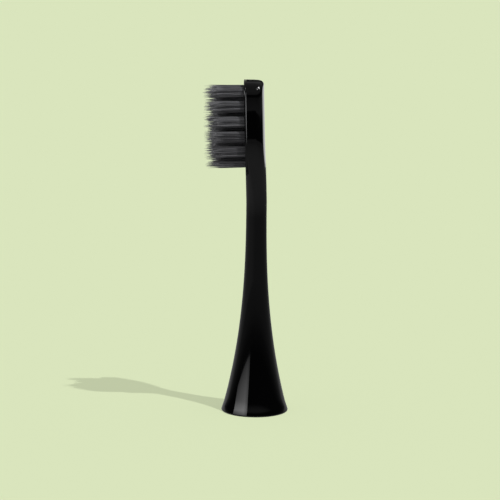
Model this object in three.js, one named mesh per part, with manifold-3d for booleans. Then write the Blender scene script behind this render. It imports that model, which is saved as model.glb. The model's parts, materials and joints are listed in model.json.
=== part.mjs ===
// A replacement brush head for a sonic electric toothbrush, standing on its open end.
// Millimetres, +Z up. The bristles point along -X, and the head is the same on both sides of Y = 0.
// The root group is shifted at the end, so that the origin is the middle of the box's underside.

import * as THREE from 'three';
import { mergeVertices } from 'three/addons/utils/BufferGeometryUtils.js';
import Module from 'manifold-3d';

// ---- Driving dimensions -------------------------------------------------------------------------

const OVERALL_HEIGHT = 80;

// Bell at the foot and the round neck above it
const BASE_RADIUS = 7.9;
const NECK_RADIUS = 2.38;
const NECK_LENGTH = 1;
const BELL_SHARPNESS = 2.5;
const BELL_WALL = 1.2;
const SOCKET_MIN_WALL = 0.7;
const SOCKET_FAIRING_SLOPE = 0.3;

// Paddle that carries the bristles
const PADDLE_HALF_WIDTH = 6.2;
const PADDLE_DEPTH = 4.26;
const PADDLE_CORNER_RADIUS = 3.6;
const PADDLE_EDGE_RADIUS = 0.45;
const PADDLE_FRONT_ROUNDING = 0.5;
const PADDLE_BACK_ROUNDING = 1.5;
const LEAN_DEGREES = 1.66;
// Distances below the top at which the paddle's widening, thinning and lean begin and end
const WIDEN_START_DROP = 33;
const WIDEN_END_DROP = 13.5;
const THIN_START_DROP = 25;
const THIN_END_DROP = 13;
const LEAN_START_DROP = 29;

// Tuft plate: a thin flange that forms the front of the paddle, and a boss that drops into the recess
const PLATE_TOP_DROP = 0.05;
const PLATE_FLANGE_THICKNESS = 0.45;
const PLATE_BOSS_THICKNESS = 1.3;
const PLATE_BOSS_INSET = 0.55;
const BOSS_END_RADIUS = 1.6;
const FILAMENT_BASE_THICKNESS = 0.7;

// Tufts
const OUTER_TUFT_LENGTH = 9.3;
const INNER_TUFT_LENGTH = 8.1;
const TUFT_ROW_GAP = 0.95;
const TUFT_TOP_MARGIN = 1.35;
const TUFT_BOTTOM_MARGIN = 1.8;
const TUFT_SIDE_MARGIN = 0.9;
const TUFT_COLUMN_GAP = 0.3;
const TUFT_MIDDLE_GAP = 0.5;
const TUFT_FLARE = 1.14;
const TUFT_ROOT_LIFT = 0.3;
const TUFT_CORNER_SHARE = 0.35;
// Each outer row from the top down: its height along the paddle and its width across it
const OUTER_ROWS = [
  { height: 2.2, width: 2.0 },
  { height: 2.6, width: 2.2 },
  { height: 2.6, width: 2.2 },
  { height: 2.6, width: 2.2 },
  { height: 2.6, width: 2.2 },
  { height: 1.65, width: 1.65 },
];
const INNER_TUFT_HEIGHT = 2.6;

// Shaft hub, its retaining ring and its two leaf springs
const SHAFT_RADIUS = 2.0;
const SHAFT_CLEARANCE = 0.05;
const SHAFT_FLAT_DISTANCE = 1.6;
const SHAFT_DEPTH = 15.4;
const HUB_MOUTH_Z = 4.6;
const HUB_WALL = 0.8;
const HUB_END_WALL = 1.2;
const HUB_NOSE_STEP = 0.75;
const HUB_FLANGE_Z = 6.2;
const HUB_FLANGE_THICKNESS = 1;
const HUB_FLANGE_STEP = 0.2;
const RING_THICKNESS = 0.8;
const SPRING_LENGTH = 7.6;
const SPRING_WIDTH = 1.6;
const SPRING_THICKNESS = 0.25;
const SPRING_SEAT_ABOVE_MOUTH = 12;
const SPRING_DIMPLE_RADIUS = 0.6;
const SPRING_DIMPLE_DEPTH = 0.4;
const SPRING_FOOT = 0.45;
const SPRING_TRAVEL = 0.6;

// Clearances between pieces that fit together
const FIT_CLEARANCE = 0.05;
const SLOT_CLEARANCE = 0.15;

// How finely round shapes are faceted
const BELL_LEVELS = 18;
const PADDLE_LEVELS = 14;
const ARC_STEPS = 6;
const TUFT_CORNER_STEPS = 2;
const MOUTH_STEPS = 4;
const DIMPLE_SEGMENTS = 12;
const LATHE_SEGMENTS = 40;

// How far cutters run on past the face that they open, and the gap left between a section's corners,
// which keeps their ends apart where the section is a full circle
const CUT_OVERRUN = 1;
const CORNER_GAP_DEGREES = 0.5;

// ---- Sizes worked out from the ones above --------------------------------------------------------

const LEAN = THREE.MathUtils.degToRad(LEAN_DEGREES);
const LEAN_START_Z = OVERALL_HEIGHT - LEAN_START_DROP;
const BELL_HEIGHT = LEAN_START_Z - NECK_LENGTH;
const PLATE_TOP_Z = OVERALL_HEIGHT - PLATE_TOP_DROP;
const WIDEN_START_Z = OVERALL_HEIGHT - WIDEN_START_DROP;
const WIDEN_END_Z = OVERALL_HEIGHT - WIDEN_END_DROP;
const RECESS_DEPTH = PLATE_FLANGE_THICKNESS + PLATE_BOSS_THICKNESS + FILAMENT_BASE_THICKNESS
  + 2 * FIT_CLEARANCE;
const BORE_RADIUS = SHAFT_RADIUS + SHAFT_CLEARANCE;
const HUB_RADIUS = BORE_RADIUS + HUB_WALL;
const HUB_TOP_Z = HUB_MOUTH_Z + SHAFT_DEPTH + HUB_END_WALL;
const HUB_NOSE_RADIUS = HUB_RADIUS + HUB_NOSE_STEP;
const SPRING_TOP_Z = HUB_MOUTH_Z + SPRING_SEAT_ABOVE_MOUTH;
const SPRING_INNER_FACE = BORE_RADIUS + SPRING_THICKNESS;
const RING_TOP_Z = HUB_FLANGE_Z - FIT_CLEARANCE;
const HUB_FLANGE_RADIUS = bellRadius(HUB_FLANGE_Z) - BELL_WALL - HUB_FLANGE_STEP;
const RING_OUTER_RADIUS = bellRadius(RING_TOP_Z) - BELL_WALL - FIT_CLEARANCE;

// ---- Materials ------------------------------------------------------------------------------------

function finish(color, roughness, metalness = 0) {
  return new THREE.MeshStandardMaterial({ color, roughness, metalness });
}

const GLOSS_BLACK = { color: 0x0c0c0d, roughness: 0.12 };
const SATIN_BLACK = { color: 0x121213, roughness: 0.3 };
const CHARCOAL_NYLON = { color: 0x35363a, roughness: 0.55 };
const NATURAL_ACETAL = { color: 0xd9d6cc, roughness: 0.4 };
const SPRING_STEEL = { color: 0xb4b6b8, roughness: 0.28, metalness: 1 };

function meshNamed(name, geometry, look) {
  const mesh = new THREE.Mesh(geometry, finish(look.color, look.roughness, look.metalness));
  mesh.name = name;
  return mesh;
}

// ---- Solid joins and cuts ----------------------------------------------------------------------------

const wasm = await Module();
wasm.setup();

function solidOf(geometry) {
  const bare = geometry.index ? geometry.toNonIndexed() : geometry.clone();
  bare.deleteAttribute('normal');
  bare.deleteAttribute('uv');
  const merged = mergeVertices(bare);
  return new wasm.Manifold(new wasm.Mesh({
    numProp: 3,
    vertProperties: new Float32Array(merged.attributes.position.array),
    triVerts: new Uint32Array(merged.index.array),
  }));
}

function geometryOf(solid) {
  const mesh = solid.getMesh();
  const geometry = new THREE.BufferGeometry();
  geometry.setAttribute('position', new THREE.BufferAttribute(mesh.vertProperties, 3));
  geometry.setIndex(new THREE.BufferAttribute(mesh.triVerts, 1));
  geometry.computeVertexNormals();
  return geometry;
}

// ---- Outer form of the moulding -----------------------------------------------------------------------

function ease(z, startZ, endZ) {
  return THREE.MathUtils.smoothstep(z, startZ, endZ);
}

// The bell's curve, kept far enough out to leave a wall around the hub.
function bellRadius(z) {
  const remaining = Math.max(0, 1 - z / BELL_HEIGHT);
  const curve = NECK_RADIUS + (BASE_RADIUS - NECK_RADIUS) * Math.pow(remaining, BELL_SHARPNESS);
  const aboveHub = Math.max(0, z - HUB_TOP_Z);
  const socketRadius = HUB_RADIUS + FIT_CLEARANCE + SOCKET_MIN_WALL - SOCKET_FAIRING_SLOPE * aboveHub;
  return Math.max(curve, socketRadius);
}

function frontX(z) {
  return -bellRadius(z) - Math.tan(LEAN) * Math.max(0, z - LEAN_START_Z);
}

function backX(z) {
  const thinned = ease(z, OVERALL_HEIGHT - THIN_START_DROP, OVERALL_HEIGHT - THIN_END_DROP);
  return frontX(z) + THREE.MathUtils.lerp(2 * bellRadius(z), PADDLE_DEPTH, thinned);
}

// How far a round corner still reaches out at a rise above its centre.
function quarterArc(radius, rise) {
  return Math.sqrt(Math.max(0, radius * radius - rise * rise));
}

// Half the width across Y, drawn in by an inset that also follows the paddle's round corners.
function halfWidth(z, inset = 0) {
  const cornerRise = z - (OVERALL_HEIGHT - PADDLE_CORNER_RADIUS);
  if (cornerRise > 0) {
    const radius = PADDLE_CORNER_RADIUS - inset;
    const flat = PADDLE_HALF_WIDTH - PADDLE_CORNER_RADIUS;
    return flat + quarterArc(radius, cornerRise);
  }
  const widened = ease(z, WIDEN_START_Z, WIDEN_END_Z);
  return THREE.MathUtils.lerp(bellRadius(z), PADDLE_HALF_WIDTH, widened) - inset;
}

// One level of the moulding: a rectangle with two front and two back corner radii, round on the neck.
function sectionAt(z) {
  const edgeRise = Math.max(0, z - (OVERALL_HEIGHT - PADDLE_EDGE_RADIUS));
  const edgeInset = PADDLE_EDGE_RADIUS - quarterArc(PADDLE_EDGE_RADIUS, edgeRise);
  const front = frontX(z) + edgeInset;
  const back = backX(z) - edgeInset;
  const half = halfWidth(z);
  const squared = ease(z, WIDEN_START_Z, WIDEN_END_Z);
  const roundest = (back - front) / 2;
  const frontRadius = THREE.MathUtils.lerp(roundest, PADDLE_FRONT_ROUNDING, squared);
  const backRadius = THREE.MathUtils.lerp(roundest, PADDLE_BACK_ROUNDING, squared);
  const corners = [
    { x: back - backRadius, y: half - backRadius, radius: backRadius },
    { x: front + frontRadius, y: half - frontRadius, radius: frontRadius },
    { x: front + frontRadius, y: frontRadius - half, radius: frontRadius },
    { x: back - backRadius, y: backRadius - half, radius: backRadius },
  ];
  const points = [];
  corners.forEach((corner, quarter) => {
    for (let step = 0; step <= ARC_STEPS; step += 1) {
      const turn = THREE.MathUtils.lerp(CORNER_GAP_DEGREES, 90 - CORNER_GAP_DEGREES, step / ARC_STEPS);
      const angle = THREE.MathUtils.degToRad(90 * quarter + turn);
      const x = corner.x + corner.radius * Math.cos(angle);
      const y = corner.y + corner.radius * Math.sin(angle);
      points.push([x, y, z]);
    }
  });
  return points;
}

function mouldingLevels() {
  const levels = [];
  const cornerStart = OVERALL_HEIGHT - PADDLE_CORNER_RADIUS;
  for (let step = 0; step < BELL_LEVELS; step += 1) {
    levels.push(WIDEN_START_Z * step / BELL_LEVELS);
  }
  for (let step = 0; step < PADDLE_LEVELS; step += 1) {
    levels.push(THREE.MathUtils.lerp(WIDEN_START_Z, cornerStart, step / PADDLE_LEVELS));
  }
  for (let step = 0; step < ARC_STEPS; step += 1) {
    levels.push(cornerStart + PADDLE_CORNER_RADIUS * Math.sin(Math.PI / 2 * step / ARC_STEPS));
  }
  for (let step = 1; step <= ARC_STEPS; step += 1) {
    const edgeAngle = Math.PI / 2 * step / ARC_STEPS;
    levels.push(OVERALL_HEIGHT - PADDLE_EDGE_RADIUS * (1 - Math.sin(edgeAngle)));
  }
  return levels.sort((low, high) => low - high);
}

// A closed skin over a stack of rings with the same number of points, capped at both ends.
function loft(rings) {
  const size = rings[0].length;
  const positions = rings.flat(2);
  const indices = [];
  for (let ring = 0; ring + 1 < rings.length; ring += 1) {
    for (let step = 0; step < size; step += 1) {
      const next = (step + 1) % size;
      const low = ring * size;
      const high = low + size;
      indices.push(low + step, low + next, high + next, low + step, high + next, high + step);
    }
  }
  const last = (rings.length - 1) * size;
  for (let step = 1; step + 1 < size; step += 1) {
    indices.push(0, step + 1, step, last, last + step, last + step + 1);
  }
  const geometry = new THREE.BufferGeometry();
  geometry.setAttribute('position', new THREE.Float32BufferAttribute(positions, 3));
  geometry.setIndex(indices);
  return geometry;
}

// ---- Placing shapes on the leaning front of the paddle ---------------------------------------------

// The head's own axes: x into the paddle from its front face, y across, z up along the face.
function headFrame() {
  const frame = new THREE.Group();
  frame.position.set(-NECK_RADIUS, 0, LEAN_START_Z);
  frame.rotation.y = -LEAN;
  frame.updateMatrix();
  return frame;
}

function alongFace(z) {
  return (z - LEAN_START_Z) / Math.cos(LEAN);
}

// A closed outline of the front of the paddle, drawn in by an inset on every side. Its lower end is
// straight across, with round corners where an end radius is given.
function faceOutline(inset, endRadius = 0) {
  const bottomZ = plateBottomZ() + inset;
  const topZ = PLATE_TOP_Z - inset;
  const cornerZ = OVERALL_HEIGHT - PADDLE_CORNER_RADIUS;
  const right = [];
  const endSteps = endRadius > 0 ? ARC_STEPS : 0;
  for (let step = 0; step < endSteps; step += 1) {
    const angle = Math.PI / 2 * step / endSteps;
    const z = bottomZ + endRadius * (1 - Math.cos(angle));
    right.push([halfWidth(z, inset) - endRadius * (1 - Math.sin(angle)), z]);
  }
  for (let step = 0; step <= ARC_STEPS; step += 1) {
    const z = THREE.MathUtils.lerp(bottomZ + endRadius, WIDEN_END_Z, step / ARC_STEPS);
    right.push([halfWidth(z, inset), z]);
  }
  for (let step = 0; step <= ARC_STEPS; step += 1) {
    const z = cornerZ + (topZ - cornerZ) * Math.sin(Math.PI / 2 * step / ARC_STEPS);
    right.push([halfWidth(z, inset), z]);
  }
  const left = right.map(([y, z]) => [-y, z]).reverse();
  return [...right, ...left].map(([y, z]) => new THREE.Vector2(y, alongFace(z)));
}

function roundedRectangle(height, width, centreY, centreZ) {
  const radius = TUFT_CORNER_SHARE * Math.min(height, width);
  const points = [];
  for (let quarter = 0; quarter < 4; quarter += 1) {
    const signY = quarter === 0 || quarter === 3 ? 1 : -1;
    const signZ = quarter < 2 ? 1 : -1;
    for (let step = 0; step <= TUFT_CORNER_STEPS; step += 1) {
      const angle = Math.PI / 2 * (quarter + step / TUFT_CORNER_STEPS);
      points.push(new THREE.Vector2(
        centreY + signY * (width / 2 - radius) + radius * Math.cos(angle),
        centreZ + signZ * (height / 2 - radius) + radius * Math.sin(angle),
      ));
    }
  }
  return points;
}

// An outline of the face, pushed into the paddle from one depth to another, with holes if any.
function facePrism(outline, startDepth, endDepth, holes = []) {
  const shape = new THREE.Shape(outline);
  shape.holes = holes.map((points) => new THREE.Path(points));
  const geometry = new THREE.ExtrudeGeometry(shape, { depth: endDepth - startDepth, bevelEnabled: false });
  // The drawing's axes become the face's: its x is y, its y is z, and its depth is x.
  geometry.applyMatrix4(new THREE.Matrix4().makeBasis(
    new THREE.Vector3(0, 1, 0), new THREE.Vector3(0, 0, 1), new THREE.Vector3(1, 0, 0)));
  geometry.translate(startDepth, 0, 0);
  return geometry;
}

// ---- Where the tufts stand -------------------------------------------------------------------------

// The outer rows from the top down, each with its edges along Z and its offset from the middle.
function outerRows() {
  let top = OVERALL_HEIGHT - TUFT_TOP_MARGIN;
  return OUTER_ROWS.map(({ height, width }) => {
    const bottom = top - height;
    const outerSide = Math.min(halfWidth(top), halfWidth(bottom)) - TUFT_SIDE_MARGIN;
    const row = { height, width, bottom, z: (top + bottom) / 2, offset: outerSide - width / 2 };
    top = bottom - TUFT_ROW_GAP;
    return row;
  });
}

function plateBottomZ() {
  return outerRows().at(-1).bottom - TUFT_BOTTOM_MARGIN;
}

// The inner rows stand level with the gaps between outer rows and fill the room between the columns.
function innerRows() {
  const rows = outerRows();
  const innermost = Math.min(...rows.map((row) => row.offset - row.width / 2));
  const width = innermost - TUFT_COLUMN_GAP - TUFT_MIDDLE_GAP / 2;
  const offset = (TUFT_MIDDLE_GAP + width) / 2;
  return rows.slice(0, -1).map((row) => (
    { height: INNER_TUFT_HEIGHT, width, z: row.bottom - TUFT_ROW_GAP / 2, offset }));
}

function tuftPairs(kind, rows, length) {
  return rows.flatMap((row, index) => [['left', 1], ['right', -1]].map(([side, sign]) => (
    { name: `${kind}_tuft_${index + 1}_${side}`, y: sign * row.offset, z: row.z, size: row, length })));
}

function tuftLayout() {
  return [
    ...tuftPairs('outer', outerRows(), OUTER_TUFT_LENGTH),
    ...tuftPairs('inner', innerRows(), INNER_TUFT_LENGTH),
  ];
}

// The tuft's outline on the face, grown or shrunk by a margin on every side.
function tuftOutline(tuft, margin) {
  const height = tuft.size.height + 2 * margin;
  const width = tuft.size.width + 2 * margin;
  return roundedRectangle(height, width, tuft.y, alongFace(tuft.z));
}

// ---- Pieces --------------------------------------------------------------------------------------------

function lathe(profile, segments = LATHE_SEGMENTS) {
  const geometry = new THREE.LatheGeometry(profile.map(([r, z]) => new THREE.Vector2(r, z)), segments);
  // LatheGeometry turns about Y, so its axis is laid along Z.
  geometry.rotateX(Math.PI / 2);
  return geometry;
}

function box(sizeX, sizeY, sizeZ, centreX, centreY, centreZ) {
  return new THREE.BoxGeometry(sizeX, sizeY, sizeZ).translate(centreX, centreY, centreZ);
}

// The room inside the moulding: bell mouth, seat for the flange, pocket for the hub.
function hubCavity() {
  const profile = [[0, -CUT_OVERRUN], [bellRadius(0) - BELL_WALL, -CUT_OVERRUN]];
  for (let step = 0; step <= MOUTH_STEPS; step += 1) {
    const z = HUB_FLANGE_Z * step / MOUTH_STEPS;
    profile.push([bellRadius(z) - BELL_WALL, z]);
  }
  const seatZ = HUB_FLANGE_Z + HUB_FLANGE_THICKNESS + FIT_CLEARANCE;
  profile.push([HUB_FLANGE_RADIUS + FIT_CLEARANCE, HUB_FLANGE_Z]);
  profile.push([HUB_FLANGE_RADIUS + FIT_CLEARANCE, seatZ]);
  profile.push([HUB_RADIUS + FIT_CLEARANCE, seatZ]);
  profile.push([HUB_RADIUS + FIT_CLEARANCE, HUB_TOP_Z + FIT_CLEARANCE]);
  profile.push([0, HUB_TOP_Z + FIT_CLEARANCE]);
  return solidOf(lathe(profile));
}

// A cutter for both springs' slots, which reaches out from the axis to either side.
function springSlots(reach) {
  const height = SPRING_LENGTH + 2 * SLOT_CLEARANCE;
  const centreZ = SPRING_TOP_Z - SPRING_LENGTH / 2;
  return solidOf(box(SPRING_WIDTH + 2 * SLOT_CLEARANCE, 2 * reach, height, 0, 0, centreZ));
}

function neckShell(frame) {
  const outer = solidOf(loft(mouldingLevels().map(sectionAt)));
  const seatDepth = CUT_OVERRUN + PLATE_FLANGE_THICKNESS + FIT_CLEARANCE;
  const seatLow = alongFace(plateBottomZ() - FIT_CLEARANCE);
  const seatHeight = OVERALL_HEIGHT - plateBottomZ() + CUT_OVERRUN;
  const frontSeat = box(seatDepth, 2 * (PADDLE_HALF_WIDTH + CUT_OVERRUN), seatHeight,
    seatDepth / 2 - CUT_OVERRUN, 0, seatLow + seatHeight / 2);
  const recessOutline = faceOutline(PLATE_BOSS_INSET - FIT_CLEARANCE, BOSS_END_RADIUS);
  const recess = facePrism(recessOutline, 0, RECESS_DEPTH);
  const cutters = [frontSeat, recess].map((cutter) => solidOf(cutter.applyMatrix4(frame.matrix)));
  // The springs move out into the shell's wall as the shaft passes.
  const springRelief = springSlots(SPRING_INNER_FACE + SPRING_THICKNESS + SPRING_TRAVEL);
  const solid = [hubCavity(), springRelief, ...cutters]
    .reduce((remaining, cutter) => remaining.subtract(cutter), outer);
  return meshNamed('neck_shell', geometryOf(solid), GLOSS_BLACK);
}

function tuftPlate(tufts) {
  const holes = tufts.map((tuft) => tuftOutline(tuft, 0));
  const flange = facePrism(faceOutline(0), 0, PLATE_FLANGE_THICKNESS, holes);
  const bossStart = PLATE_FLANGE_THICKNESS / 2;
  const bossEnd = PLATE_FLANGE_THICKNESS + PLATE_BOSS_THICKNESS;
  const boss = facePrism(faceOutline(PLATE_BOSS_INSET, BOSS_END_RADIUS), bossStart, bossEnd, holes);
  const solid = solidOf(flange).add(solidOf(boss));
  return meshNamed('tuft_plate', geometryOf(solid), SATIN_BLACK);
}

// The fused ends of the filaments: a sheet behind the plate, with a stud in each of its holes.
function filamentBase(tufts) {
  const start = PLATE_FLANGE_THICKNESS + PLATE_BOSS_THICKNESS + FIT_CLEARANCE;
  const sheetOutline = faceOutline(PLATE_BOSS_INSET, BOSS_END_RADIUS);
  const sheet = facePrism(sheetOutline, start, start + FILAMENT_BASE_THICKNESS);
  const studs = tufts.map((tuft) => {
    const outline = tuftOutline(tuft, -FIT_CLEARANCE);
    return solidOf(facePrism(outline, FIT_CLEARANCE, start + FILAMENT_BASE_THICKNESS / 2));
  });
  const solid = studs.reduce((joined, stud) => joined.add(stud), solidOf(sheet));
  return meshNamed('filament_base', geometryOf(solid), CHARCOAL_NYLON);
}

// A tuft stands just off the plate and widens a little towards its tip.
function tuftMesh(tuft) {
  const { height, width } = tuft.size;
  const sidewaysFlare = (1 + TUFT_FLARE) / 2;
  const tip = roundedRectangle(height * TUFT_FLARE, width * sidewaysFlare, 0, 0);
  const root = roundedRectangle(height, width, 0, 0);
  const rings = [
    tip.map((point) => [-tuft.length, point.x, point.y]),
    root.map((point) => [-TUFT_ROOT_LIFT, point.x, point.y]),
  ];
  const mesh = meshNamed(tuft.name, loft(rings), CHARCOAL_NYLON);
  mesh.position.set(0, tuft.y, alongFace(tuft.z));
  return mesh;
}

// The drive shaft's section: round, with one flat that carries the drive.
function shaftBore() {
  const flatAngle = Math.acos(SHAFT_FLAT_DISTANCE / BORE_RADIUS);
  const section = new THREE.Shape();
  section.absarc(0, 0, BORE_RADIUS, flatAngle, 2 * Math.PI - flatAngle, false);
  const geometry = new THREE.ExtrudeGeometry(section, {
    depth: SHAFT_DEPTH + CUT_OVERRUN,
    bevelEnabled: false,
    curveSegments: LATHE_SEGMENTS / 2,
  });
  return geometry.translate(0, 0, HUB_MOUTH_Z - CUT_OVERRUN);
}

function shaftHub() {
  const flangeTop = HUB_FLANGE_Z + HUB_FLANGE_THICKNESS;
  const body = lathe([
    [0, HUB_MOUTH_Z],
    [HUB_NOSE_RADIUS, HUB_MOUTH_Z],
    [HUB_NOSE_RADIUS, HUB_FLANGE_Z],
    [HUB_FLANGE_RADIUS, HUB_FLANGE_Z],
    [HUB_FLANGE_RADIUS, flangeTop],
    [HUB_RADIUS, flangeTop],
    [HUB_RADIUS, HUB_TOP_Z],
    [0, HUB_TOP_Z],
  ]);
  const slots = springSlots(HUB_RADIUS + CUT_OVERRUN);
  const solid = solidOf(body).subtract(solidOf(shaftBore())).subtract(slots);
  return meshNamed('shaft_hub', geometryOf(solid), NATURAL_ACETAL);
}

function retainingRing() {
  const inner = HUB_NOSE_RADIUS + FIT_CLEARANCE;
  const low = RING_TOP_Z - RING_THICKNESS;
  const profile = [
    [inner, low],
    [RING_OUTER_RADIUS, low],
    [RING_OUTER_RADIUS, RING_TOP_Z],
    [inner, RING_TOP_Z],
    [inner, low],
  ];
  return meshNamed('retaining_ring', lathe(profile), SATIN_BLACK);
}

// A flat strip with a dimple that reaches into the bore and a foot that hooks over the hub's wall.
function leafSpring(name, side) {
  const middle = SPRING_INNER_FACE + SPRING_THICKNESS / 2;
  const strip = box(SPRING_WIDTH, SPRING_THICKNESS, SPRING_LENGTH, 0, middle, -SPRING_LENGTH / 2);
  const footReach = SPRING_THICKNESS + SPRING_FOOT;
  const foot = box(SPRING_WIDTH, footReach, SPRING_THICKNESS, 0,
    SPRING_INNER_FACE + footReach / 2, -SPRING_THICKNESS / 2);
  const radius = SPRING_DIMPLE_RADIUS;
  const dimpleZ = 2 * radius - SPRING_LENGTH;
  const dimple = new THREE.CylinderGeometry(radius, radius, SPRING_WIDTH, DIMPLE_SEGMENTS);
  dimple.rotateZ(Math.PI / 2);
  dimple.translate(0, SPRING_INNER_FACE - SPRING_DIMPLE_DEPTH + radius, dimpleZ);
  const outside = box(SPRING_WIDTH + CUT_OVERRUN, 2 * radius, 4 * radius, 0, middle + radius, dimpleZ);
  const inwardDimple = solidOf(dimple).subtract(solidOf(outside));
  const solid = solidOf(strip).add(solidOf(foot)).add(inwardDimple);
  const mesh = meshNamed(name, geometryOf(solid), SPRING_STEEL);
  mesh.position.z = SPRING_TOP_Z;
  mesh.rotation.z = side > 0 ? 0 : Math.PI;
  return mesh;
}

// ---- Assembly --------------------------------------------------------------------------------------------

function brushHead() {
  const frame = headFrame();
  const tufts = tuftLayout();
  frame.add(tuftPlate(tufts), filamentBase(tufts), ...tufts.map(tuftMesh));
  const root = new THREE.Group();
  root.add(neckShell(frame), shaftHub(), retainingRing());
  root.add(leafSpring('leaf_spring_left', 1), leafSpring('leaf_spring_right', -1));
  root.add(frame);
  root.updateMatrixWorld(true);
  const bounds = new THREE.Box3().setFromObject(root, true);
  root.position.x = -(bounds.min.x + bounds.max.x) / 2;
  return root;
}

export default brushHead();
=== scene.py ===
"""Looks of a push-on brush head for a sonic toothbrush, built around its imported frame.

Every mesh is drawn in millimetres with the neck's axis on Z = up and X = Y = 0, and is then brought
into the frame in one step. The bristles point along -X.
"""
import json
import logging
import math
import random
from collections.abc import Callable, Sequence
from dataclasses import dataclass, field
from enum import Enum

import bmesh
import bpy
from mathutils import Matrix, Vector


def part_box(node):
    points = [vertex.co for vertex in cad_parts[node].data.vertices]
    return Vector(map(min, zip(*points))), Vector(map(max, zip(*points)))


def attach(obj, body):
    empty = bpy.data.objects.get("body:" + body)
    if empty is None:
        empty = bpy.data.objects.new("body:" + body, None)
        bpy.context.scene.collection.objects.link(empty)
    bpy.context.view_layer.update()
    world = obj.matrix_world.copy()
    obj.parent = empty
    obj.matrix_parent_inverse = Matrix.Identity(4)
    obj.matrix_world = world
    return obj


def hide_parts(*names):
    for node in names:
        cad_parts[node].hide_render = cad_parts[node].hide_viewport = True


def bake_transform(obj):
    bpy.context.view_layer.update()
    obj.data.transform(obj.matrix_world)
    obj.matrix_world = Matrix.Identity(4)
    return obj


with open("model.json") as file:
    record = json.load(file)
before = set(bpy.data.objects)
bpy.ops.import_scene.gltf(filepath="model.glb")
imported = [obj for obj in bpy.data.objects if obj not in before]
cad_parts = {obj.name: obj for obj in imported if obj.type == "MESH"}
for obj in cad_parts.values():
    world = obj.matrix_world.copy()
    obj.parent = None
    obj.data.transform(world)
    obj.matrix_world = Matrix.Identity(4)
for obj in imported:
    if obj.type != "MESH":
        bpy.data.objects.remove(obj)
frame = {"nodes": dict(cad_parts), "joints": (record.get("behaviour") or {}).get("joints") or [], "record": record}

log = logging.getLogger("brush_head")

MM = 0.001
FULL_TURN = 2 * math.pi
QUARTER_TURN = math.pi / 2
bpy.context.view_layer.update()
# How far apart points are merged, in millimetres
MERGE_DISTANCE = 1e-4
# Distance between the rows of a hexagonal packing, as a share of its spacing
HEXAGON_ROW = math.sqrt(3) / 2
FLOOR_SIDES = 96

Color = tuple[float, float, float]
Point = tuple[float, float, float]


class Body(Enum):
    """The rigid bodies of the frame that pieces ride on."""

    HEAD = "head"
    SPRING_LEFT = "spring_left"
    SPRING_RIGHT = "spring_right"


class Slot(Enum):
    """The record's material slots."""

    GLOSS = "gloss_black_abs"
    SATIN = "satin_black_abs"
    NYLON = "charcoal_nylon"
    ACETAL = "natural_acetal"
    STEEL = "spring_steel"


# ---- Small helpers ----


def ease(value: float, start: float, end: float) -> float:
    """Returns 0 before start and 1 after end, with a smooth rise between them."""
    share = min(1.0, max(0.0, (value - start) / (end - start)))
    return share * share * (3 - 2 * share)


def lerp(low: float, high: float, share: float) -> float:
    """Returns the value a share of the way from low to high."""
    return low + (high - low) * share


def arc_reach(radius: float, rise: float) -> float:
    """Returns how far a circle reaches sideways at a rise above its centre."""
    return math.sqrt(max(0.0, radius * radius - rise * rise))


def spread(start: float, end: float, steps: int) -> list[float]:
    """Returns evenly spaced values from start to end, both included."""
    return [lerp(start, end, step / steps) for step in range(steps + 1)]


def into_frame() -> Matrix:
    """Returns the matrix from millimetres about the neck's axis to the frame."""
    axis_x = sum(corner[0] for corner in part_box("shaft_hub")) / 2
    return Matrix.Translation((axis_x, 0, 0)) @ Matrix.Scale(MM, 4)


def mesh_object(name: str, bm: bmesh.types.BMesh) -> bpy.types.Object:
    """Turns a bmesh into an object with outward faces and frees it.

    Args:
        name: The object's name.
        bm: The finished shape, in millimetres about the neck's axis.

    Returns:
        The new object, linked to the scene.
    """
    bmesh.ops.recalc_face_normals(bm, faces=bm.faces[:])
    mesh = bpy.data.meshes.new(name)
    bm.to_mesh(mesh)
    bm.free()
    made = bpy.data.objects.new(name, mesh)
    bpy.context.scene.collection.objects.link(made)
    return made


def carve(piece: bpy.types.Object, cutters: Sequence[bpy.types.Object]) -> None:
    """Cuts shapes out of a piece and removes the cutters.

    Args:
        piece: The object that is cut, whose mesh is replaced.
        cutters: The closed shapes to take away.
    """
    for cutter in cutters:
        modifier = piece.modifiers.new("carve", "BOOLEAN")
        modifier.operation = "DIFFERENCE"
        modifier.solver = "EXACT"
        modifier.object = cutter
    bpy.context.view_layer.update()
    depsgraph = bpy.context.evaluated_depsgraph_get()
    piece_mesh = bpy.data.meshes.new_from_object(piece.evaluated_get(depsgraph))
    piece.modifiers.clear()
    piece.data = piece_mesh
    for cutter in cutters:
        bpy.data.objects.remove(cutter)


def dress(piece: bpy.types.Object, material: bpy.types.Material, body: Body,
          nodes: Sequence[str], sharp_degrees: float = 35) -> None:
    """Brings a drawn piece into the frame, shades it, parents it to its body and hides the CAD nodes it stands
    for.

    Args:
        piece: The object, still in millimetres.
        material: Its finish.
        body: The body it rides on.
        nodes: The CAD nodes it stands for.
        sharp_degrees: Edges that turn more than this stay crisp.
    """
    piece.data.transform(into_frame())
    piece.data.shade_smooth()
    piece.data.set_sharp_from_angle(angle=math.radians(sharp_degrees))
    piece.data.materials.clear()
    piece.data.materials.append(material)
    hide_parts(*nodes)
    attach(piece, body.value)
    log.info("%s: %d faces", piece.name, len(piece.data.polygons))


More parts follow.
